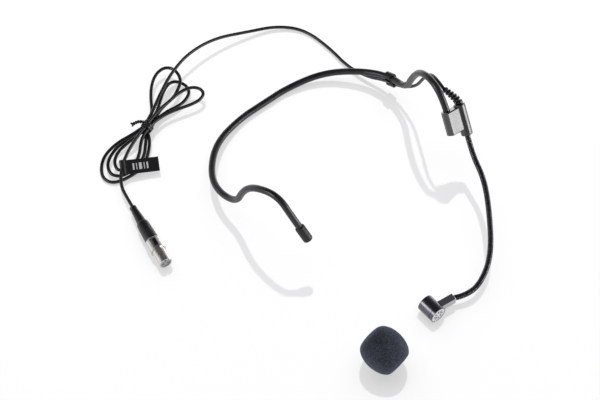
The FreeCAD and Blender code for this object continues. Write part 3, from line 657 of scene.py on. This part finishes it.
class HEADSET_OT_neckband(bpy.types.Operator):
    """Makes the soft tube round the neck and over both ears, and the cap on its free end"""
    bl_idname = "headset.neckband"
    bl_label = "Neckband tube and end cap"

    def execute(self, context):
        radius = context.scene.headset_sizes.tube_radius
        right = np.array(BAND_SIDE)
        left = right * np.array([-1.0, 1.0, 1.0])
        left[-4:, 2] -= FREE_HOOK_DROP
        corners = placed(np.vstack([left[::-1], [[0.0, 82.0, 2.5]], right]))
        path = evenly(smooth_line(corners), 900)
        # The profile's reference points away from the middle of the head.
        reference = path * np.array([1.0, 1.0, 0.0]) - EAR_MIDDLE * MM
        far = walked(path)
        # The tube is drawn over the wire, and its wall wanders by a few hundredths.
        swell = 1.0 + 0.006 * np.sin(far / 0.021) + 0.004 * np.sin(far / 0.0077 + 1.0)
        tube = piece("neck_tube", [carried(path, radius * swell, unit(reference), 40)],
                     worn("tube_black"))
        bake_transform(tube)
        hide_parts("tube_left", "tube_right")

        way = unit(path[0] - path[12])
        start = path[0] - way * 9.5 * MM
        outline = [(0.3, 2.35), (0.0, 2.6), (0.1, 3.0), (0.6, 3.25), (1.6, 3.3), (1.9, 3.3),
                   (2.0, 3.12), (2.5, 3.12), (2.6, 3.3), (3.4, 3.3), (9.6, 3.28), (10.6, 3.2),
                   (11.3, 2.7), (11.5, 1.9), (11.5, 0.75), (11.4, 0.65), (10.0, 0.65),
                   (9.9, 0.5)]
        cap = piece("hook_cap", [turned(start, way, np.array(outline) * MM, 64)],
                    worn("cap_black"), edge_angle=50.0)
        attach(cap, "left_side")
        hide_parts("end_cap")
        return {"FINISHED"}


class HEADSET_OT_relief(bpy.types.Operator):
    """Makes the ribbed strain relief between the holder and the cord"""
    bl_idname = "headset.relief"
    bl_label = "Strain relief"

    def execute(self, context):
        corners = placed([BARREL_TOP - 2.0 * BARREL_UP, BARREL_TOP, BARREL_TOP + 3.0 * BARREL_UP,
                          (71.3, -20.2, 55.6)])
        path = evenly(smooth_line(corners), 420)
        far = walked(path) / MM - 2.0
        length = far[-1]
        share = np.clip(far / length, 0.0, 1.0)
        # Six ribs with round shoulders. Between them the core shows.
        wave = 0.5 + 0.5 * np.cos(2 * np.pi * (far / length * 6.0 - 0.5))
        rib = 1.0 / (1.0 + np.exp(-14.0 * (wave - 0.42)))
        outer = 3.05 + share * (2.1 - 3.05)
        core = 1.6 - 0.15 * share
        radius = np.where(far > 0.15, core + (outer - core) * rib, 1.6)
        radius[-1] = 1.2
        relief = piece("relief_sleeve", [carried(path, radius * MM, (1.0, 0.0, 0.0), 40)],
                       worn("relief_black"), edge_angle=60.0)
        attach(relief, "headset")
        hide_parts("strain_relief")
        return {"FINISHED"}


class HEADSET_OT_boom(bpy.types.Operator):
    """Makes the gooseneck boom: five lengths of wound wire, split at the boom's joints"""
    bl_idname = "headset.boom"
    bl_label = "Gooseneck boom"

    def execute(self, context):
        sizes = context.scene.headset_sizes
        per_corner = 60
        line = smooth_line(placed(np.array([tuple(c) for c in BOOM_CORNERS])), per_corner)
        far = walked(line)
        # Each length runs from the middle of one section to the middle of the next, and the
        # first and last take in the ends. The joints are at the corners' middles.
        stops = [0] + [per_corner * k + per_corner // 2 for k in (3, 4, 5, 6)] + [len(line) - 1]
        for k in range(5):
            begin, end = stops[k], stops[k + 1]
            count = int((far[end] - far[begin]) / sizes.wire_pitch * 9)
            at = np.linspace(far[begin], far[end], count)
            path = np.column_stack([np.interp(at, far, line[:, n]) for n in range(3)])
            sides = 28
            spin = (2 * np.pi * np.arange(sides) / sides)[None, :]
            # The wire's crest: |sin| of half a turn for each pitch, led round by the angle.
            crest = np.abs(np.sin(np.pi * at[:, None] / sizes.wire_pitch + spin / 2))
            radius = sizes.boom_radius - 0.2 * MM * (1.0 - crest)
            shape = carried(path, radius, (0.0, 0.0, 1.0), sides)
            crests = np.concatenate([crest.ravel(), [0.0, 0.0]])
            length = piece("boom_length_%d" % (k + 1), [shape], worn("gooseneck_black"),
                           edge_angle=180.0, attributes={"crest": crests})
            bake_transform(length)
            replaced = ["gooseneck_%d" % k] + (["gooseneck_5"] if k == 4 else [])
            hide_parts(*replaced)
        return {"FINISHED"}


class HEADSET_OT_windscreen(bpy.types.Operator):
    """Makes the loose foam windscreen, with its pocket for the capsule"""
    bl_idname = "headset.windscreen"
    bl_label = "Foam windscreen"

    def execute(self, context):
        sizes = context.scene.headset_sizes
        # Distance from the mouth, and radius: over the crown, down the side, round the
        # mouth and up into the pocket.
        outline = np.array([
            (26.4, 0.2), (26.4, 4.6), (25.0, 9.8), (20.0, 12.9), (14.6, 13.95), (9.6, 13.7),
            (4.4, 12.2), (0.9, 9.6), (0.05, 7.4), (0.3, 5.5), (3.0, 5.3), (12.0, 5.3),
            (13.9, 4.4), (13.9, 0.2),
        ])
        profile = evenly(smooth_line(outline), 210)
        sides = 300
        rough = np.random.default_rng(11).normal(size=(len(profile), sides))
        rough = rough + 0.7 * (np.roll(rough, 1, 1) + np.roll(rough, 1, 0)
                               + np.roll(rough, -1, 1) + np.roll(rough, -1, 0))
        rough = rough / np.abs(rough).max()
        outside = np.clip((profile[:, 1] - 5.0) / 1.5, 0.0, 1.0)[:, None]
        fluting = 1.0 + outside * rough * sizes.foam_cell / MM / FOAM_RADIUS
        # It lies on its side, with the rim of its mouth turned to the floor.
        lean = unit(FOAM_LEAN)
        mouth = placed(FOAM_MIDDLE + FOAM_WAIST * lean)
        shape = turned(mouth, -lean, profile * MM, sides, fluting)
        foam = piece("foam_windscreen", [shape], worn("foam_charcoal"), edge_angle=180.0)
        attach(foam, "windscreen")
        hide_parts("windscreen")
        return {"FINISHED"}


class HEADSET_OT_tie(bpy.types.Operator):
    """Makes the tie wire: two turns round the hank, and its tails twisted together"""
    bl_idname = "headset.tie"
    bl_label = "Twist tie"

    def execute(self, context):
        middle = placed(TIE_MIDDLE)
        way, across = np.array(HANK_WAY), np.array(HANK_ACROSS)
        up = np.array([0.0, 0.0, 1.0])
        # Two turns of a flat strip: middle + 4 mm (cos a across + sin a up) + a rise along
        # the hank. Each turn squeezes in a little where it crosses from strand to strand.
        a = np.linspace(math.radians(60), math.radians(60 + 745), 260)
        reach = (4.05 + 0.12 * np.cos(6 * a)) * MM
        rise = (a - a.mean()) / (2 * np.pi) * 1.9 * MM
        spoke = np.cos(a)[:, None] * across + np.sin(a)[:, None] * up
        loop = middle + reach[:, None] * spoke + rise[:, None] * way
        band = carried(loop, 1.0 * MM, spoke, 20, flat=0.36)
        # The tails leave the top of the hank together and wind round each other.
        root = middle + 2.6 * MM * across + 3.6 * MM * up
        corners = [root, root + 3.0 * MM * across + (0.4 * up - 1.0 * way) * MM,
                   root + 5.0 * MM * across + (-0.6 * up - 3.0 * way) * MM,
                   root + 6.6 * MM * across + (-1.2 * up - 5.0 * way) * MM]
        line = evenly(smooth_line(corners), 200)
        along = walked(line)
        wind = 2 * np.pi * along / (3.2 * MM)
        direction = unit(np.gradient(line, axis=0))
        side = unit(np.cross(direction, up))
        over = np.cross(side, direction)
        shapes = [band]
        for start in (0.0, math.pi):
            offset = np.cos(wind + start)[:, None] * side + np.sin(wind + start)[:, None] * over
            splay = 0.5 + 0.5 * np.clip((along / along[-1] - 0.86) / 0.14, 0.0, 1.0)
            tail = line + (splay * MM)[:, None] * offset
            shapes.append(carried(tail, 0.8 * MM, up, 16, turn=wind, flat=0.6))
        tie = piece("tie_wire", shapes, worn("tie_black"), edge_angle=60.0)
        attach(tie, "headset")
        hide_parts("twist_tie")
        return {"FINISHED"}


class HEADSET_OT_label(bpy.types.Operator):
    """Makes the folded label: one strip of film round the cord, stuck to itself"""
    bl_idname = "headset.label"
    bl_label = "Folded label"

    def execute(self, context):
        leaf = unit(LABEL_END - LABEL_WRAP)
        lean = unit(LABEL_LEAN - leaf * (LABEL_LEAN @ leaf))
        over = np.cross(leaf, lean)
        # The strip's edge in plan: out along one leaf, round the cord, and back.
        outline = np.array([
            (LABEL_LEAF, 0.14), (14.0, 0.14), (4.0, 0.16), (2.3, 0.45), (1.0, 1.45), (-0.7, 1.55),
            (-1.6, 0.6), (-1.6, -0.6), (-0.7, -1.55), (1.0, -1.45), (2.3, -0.45),
            (4.0, -0.16), (14.0, -0.14), (LABEL_LEAF, -0.14),
        ])
        edge = evenly(smooth_line(outline), 300)
        # Both leaves curl up together, by the square of the distance from the cord.
        curl = 1.1 * np.clip(edge[:, 0] / LABEL_LEAF, 0.0, 1.0) ** 2
        v = np.linspace(-LABEL_WIDTH / 2, LABEL_WIDTH / 2, 65)
        spine = edge[:, :1] * leaf + (edge[:, 1:] + curl[:, None]) * over
        points = LABEL_WRAP + spine[:, None] + v[None, :, None] * lean
        rows, columns = points.shape[:2]
        i, j = np.meshgrid(np.arange(rows - 1), np.arange(columns - 1), indexing="ij")
        a0 = (i * columns + j).ravel()
        quads = np.column_stack([a0, a0 + columns, a0 + columns + 1, a0 + 1])
        # Plain bars of several widths, printed on the middle of each leaf.
        u = np.repeat(edge[:, :1], columns, 1)
        w = np.repeat(v[None], rows, 0)
        ink = np.zeros((rows, columns))
        for begin, end in LABEL_BARS:
            bar = (u > begin) & (u < end) & (np.abs(w) < LABEL_BAR_HALF_HEIGHT)
            ink = np.maximum(ink, bar)
        mesh = bpy.data.meshes.new("label_strip")
        mesh.from_pydata(placed(points.reshape(-1, 3)).tolist(), [], quads.tolist())
        layer = mesh.attributes.new("ink", "FLOAT", "POINT")
        layer.data.foreach_set("value", ink.ravel().astype(np.float32))
        mesh.polygons.foreach_set("use_smooth", np.ones(len(mesh.polygons), bool))
        mesh.materials.append(worn("label_black"))
        label = bpy.data.objects.new("label_strip", mesh)
        context.scene.collection.objects.link(label)
        wall = label.modifiers.new("Film", "SOLIDIFY")
        wall.thickness = 0.12 * MM
        wall.offset = 0.0
        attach(label, "headset")
        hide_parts("label_flag")
        return {"FINISHED"}


class HEADSET_OT_plug(bpy.types.Operator):
    bl_idname = "headset.plug"
    bl_label = "Plug boot and handle"

    def execute(self, context):
        start = placed(PLUG_START)
        outline = [(0.0, 1.2), (0.0, 1.9), (0.15, 2.2), (0.6, 2.4), (1.4, 2.45), (1.8, 2.3),
                   (5.0, 2.55), (10.0, 2.95), (13.0, 3.2), (15.3, 3.4)]
        boot = piece("plug_boot_sleeve",
                     [turned(start, PLUG_WAY, evenly(smooth_line(outline, 16), 120) * MM, 56)],
                     worn("plug_rubber"), edge_angle=50.0)
        outline = [(14.7, 2.6), (14.7, 3.3), (14.9, 3.75), (15.6, 4.1), (18.0, 4.25),
                   (24.0, 4.5), (30.0, 4.68), (30.7, 4.66), (30.95, 4.4), (30.95, 3.0)]
        profile = evenly(smooth_line(outline, 16), 240)
        sides = 144
        a = 2 * np.pi * np.arange(sides) / sides
        # Twenty-four shallow flutes, which fade in and out along the grip.
        fade_in = np.clip((profile[:, 0] - 18.5) / 1.5, 0, 1)
        along = fade_in * np.clip((29.0 - profile[:, 0]) / 1.5, 0, 1)
        side = np.clip((profile[:, 1] - 4.0) / 0.1, 0, 1)
        depth = (0.12 / 4.4) * (along * side)[:, None]
        fluting = 1.0 - depth * (0.5 + 0.5 * np.cos(24 * a))[None, :] ** 3
        handle = piece("plug_grip", [turned(start, PLUG_WAY, profile * MM, sides, fluting)],
                       worn("plug_rubber"), edge_angle=50.0)
        for made, node in ((boot, "plug_boot"), (handle, "plug_handle")):
            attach(made, "headset")
            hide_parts(node)
        on_cord = [boot, handle, bpy.data.objects["tie_wire"], bpy.data.objects["label_strip"]]
        on_cord += [nodes[n] for n in ("plug_chuck", "plug_shell", "plug_insert",
                                       "plug_contacts", "plug_latch")]
        return {"FINISHED"}


class HEADSET_OT_hard_parts(bpy.types.Operator):
    """Gives every hard part its finish"""
    bl_idname = "headset.hard_parts"
    bl_label = "Hard parts"

    def execute(self, context):
        by_node = {
            "spring_wire_right": "spring_wire", "spring_wire_left": "spring_wire",
            "tube_right": "tube_black", "tube_left": "tube_black", "end_cap": "cap_black",
            "cable_clip": "clip_black", "holder_clip": "holder_black",
            "holder_barrel": "holder_black", "boom_gland": "bush_black",
            "relief_bush": "bush_black", "lead_splice": "splice_sleeve",
            "strain_relief": "relief_black", "boom_collar": "collar_black",
            "capsule_housing": "capsule_black", "capsule_rear_cap": "capsule_black",
            "capsule_grille": "grille_silver", "acoustic_mesh": "mesh_dark",
            "front_gasket": "gasket_black", "microphone_element": "element_metal",
            "element_board": "board_green", "capsule_leads": "lead_copper",
            "windscreen": "foam_charcoal", "cord": "cord_black", "cord_tail": "cord_black",
            "cord_hank": "cord_black", "twist_tie": "tie_black", "label_flag": "label_black",
            "plug_boot": "plug_rubber", "plug_handle": "plug_rubber",
            "plug_chuck": "plug_chuck", "plug_shell": "plug_nickel",
            "plug_insert": "insert_black", "plug_contacts": "contact_gold",
            "plug_latch": "latch_dark",
        }
        for name, node in nodes.items():
            slot = "gooseneck_black" if name.startswith("gooseneck") else by_node[name]
            if not node.material_slots:
                node.data.materials.append(worn(slot))
            for holder in node.material_slots:
                holder.material = worn(slot)
        return {"FINISHED"}


class HEADSET_PT_panel(bpy.types.Panel):
    """Lists the headset's pieces, sizes and colours"""
    bl_idname = "HEADSET_PT_panel"
    bl_label = "Headset Microphone"
    bl_space_type = "VIEW_3D"
    bl_region_type = "UI"
    bl_category = "Headset"

    def draw(self, context):
        for operator in OPERATORS:
            self.layout.operator(operator.bl_idname)
        for group in (context.scene.headset_sizes, context.scene.headset_looks):
            for name in group.bl_rna.properties.keys():
                if name not in ("rna_type", "name"):
                    self.layout.prop(group, name)


OPERATORS = [
    HEADSET_OT_stage, HEADSET_OT_cord, HEADSET_OT_neckband, HEADSET_OT_relief,
    HEADSET_OT_boom, HEADSET_OT_windscreen, HEADSET_OT_tie, HEADSET_OT_label,
    HEADSET_OT_plug, HEADSET_OT_hard_parts,
]
CLASSES = [HeadsetLooks, HeadsetSizes, HEADSET_PT_panel] + OPERATORS


def register():
    for cls in CLASSES:
        bpy.utils.register_class(cls)
    bpy.types.Scene.headset_looks = bpy.props.PointerProperty(type=HeadsetLooks)
    bpy.types.Scene.headset_sizes = bpy.props.PointerProperty(type=HeadsetSizes)


def unregister():
    del bpy.types.Scene.headset_sizes
    del bpy.types.Scene.headset_looks
    for cls in reversed(CLASSES):
        bpy.utils.unregister_class(cls)


def main():
    register()
    bpy.ops.headset.stage()
    bpy.ops.headset.cord()
    bpy.ops.headset.neckband()
    bpy.ops.headset.relief()
    bpy.ops.headset.boom()
    bpy.ops.headset.windscreen()
    bpy.ops.headset.tie()
    bpy.ops.headset.label()
    bpy.ops.headset.plug()
    bpy.ops.headset.hard_parts()
    bpy.context.view_layer.update()


if __name__ == "__main__":
    main()
